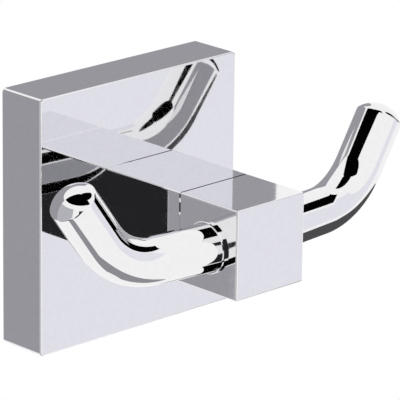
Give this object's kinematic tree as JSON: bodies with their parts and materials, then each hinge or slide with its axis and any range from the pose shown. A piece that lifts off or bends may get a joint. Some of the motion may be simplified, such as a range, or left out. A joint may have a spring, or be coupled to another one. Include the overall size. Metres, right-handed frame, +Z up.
{
  "type": "robe hook",
  "caption": "Double robe hook: a square wall plate, a square stem with a block head, and two upturned round arms, chrome plated.",
  "frame": {"origin": "middle of the wall plate on the wall plane, half way between the two wall screw holes", "axes": "+Z up, +X to the right as seen from the front, -Y out from the wall towards the user"},
  "size_m": [0.0946, 0.0505, 0.055],
  "materials": {
    "chrome": "mirror-polished chrome plate",
    "zinc_steel": "bright zinc plate",
    "screw_steel": "stainless, fine turned"
  },
  "bodies": {
    "root": {"cover_plate": "chrome", "stem": "chrome", "head_block": "chrome", "left_arm": "chrome", "right_arm": "chrome", "left_collar": "chrome", "right_collar": "chrome", "wall_bracket": "zinc_steel", "lock_screw": "screw_steel", "stem_screw": "screw_steel", "stem_washer": "zinc_steel", "spring_washer": "screw_steel", "stem_pins": "screw_steel", "joining_stud": "screw_steel", "head_pins": "screw_steel", "arm_set_screws": "screw_steel"}
  },
  "joints": []
}
